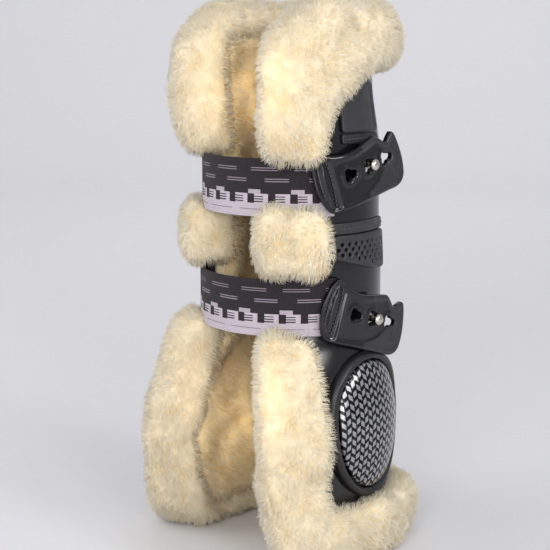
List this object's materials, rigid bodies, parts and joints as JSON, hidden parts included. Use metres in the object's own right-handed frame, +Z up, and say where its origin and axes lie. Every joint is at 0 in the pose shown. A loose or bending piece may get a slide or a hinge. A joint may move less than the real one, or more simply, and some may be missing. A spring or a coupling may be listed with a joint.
{
  "type": "tendon boot",
  "caption": "Open-front protective boot for a horse's lower leg: moulded shell, rolled sheepskin lining, side strike domes and elastic straps with keyhole tabs hooked on studs.",
  "frame": {"origin": "middle of the boot's footprint, on the surface it stands on", "axes": "+Z up along the leg, -Y towards the front opening, +X towards the side that carries the studs"},
  "size_m": [0.136, 0.1409, 0.31],
  "materials": {
    "sheepskin": "deep curly pile",
    "shell_plastic": "glossy moulded",
    "tab_plastic": "glossy moulded",
    "neoprene": "matte foam",
    "elastic_webbing": "ribbed two-tone knit",
    "nickel": "polished",
    "rim_rubber": "satin",
    "carbon_weave": "lacquered twill weave",
    "soft_touch_panel": "soft-touch satin"
  },
  "bodies": {
    "shell": {"outer_shell": "shell_plastic", "foam_liner": "neoprene", "fleece_lining": "sheepskin", "upper_fleece_roll": "sheepskin", "lower_fleece_roll": "sheepskin", "middle_fleece_roll_right": "sheepskin", "middle_fleece_roll_left": "sheepskin", "badge_panel_right": "soft_touch_panel", "badge_panel_left": "soft_touch_panel", "badge_trim_right": "soft_touch_panel", "badge_trim_left": "soft_touch_panel", "vent_panel_right": "soft_touch_panel", "vent_panel_left": "soft_touch_panel", "vent_trim_right": "soft_touch_panel", "vent_trim_left": "soft_touch_panel", "spine_guard": "shell_plastic", "strike_dome_right": "carbon_weave", "strike_dome_left": "carbon_weave", "dome_rim_right": "rim_rubber", "dome_rim_left": "rim_rubber", "upper_strap_anchor": "elastic_webbing", "lower_strap_anchor": "elastic_webbing", "upper_stud": "nickel", "lower_stud": "nickel", "upper_stud_backing": "nickel", "lower_stud_backing": "nickel"},
    "upper_strap": {"upper_strap_band": "elastic_webbing"},
    "upper_tab": {"upper_tab": "tab_plastic", "upper_strap_end": "elastic_webbing"},
    "lower_strap": {"lower_strap_band": "elastic_webbing"},
    "lower_tab": {"lower_tab": "tab_plastic", "lower_strap_end": "elastic_webbing"}
  },
  "joints": [
    {"name": "upper_strap_swing", "type": "hinge", "parent": "shell", "child": "upper_strap", "pos_m": [-0.03864, -0.03439, 0.212], "axis": [0, 0, -1], "range_deg": [0, 120]},
    {"name": "upper_tab_peel", "type": "hinge", "parent": "upper_strap", "child": "upper_tab", "pos_m": [0.04217, -0.03003, 0.212], "axis": [0, 0, -1], "range_deg": [0, 75]},
    {"name": "lower_strap_swing", "type": "hinge", "parent": "shell", "child": "lower_strap", "pos_m": [-0.03976, -0.0354, 0.146], "axis": [0, 0, -1], "range_deg": [0, 120]},
    {"name": "lower_tab_peel", "type": "hinge", "parent": "lower_strap", "child": "lower_tab", "pos_m": [0.04568, -0.02746, 0.146], "axis": [0, 0, -1], "range_deg": [0, 75]}
  ]
}
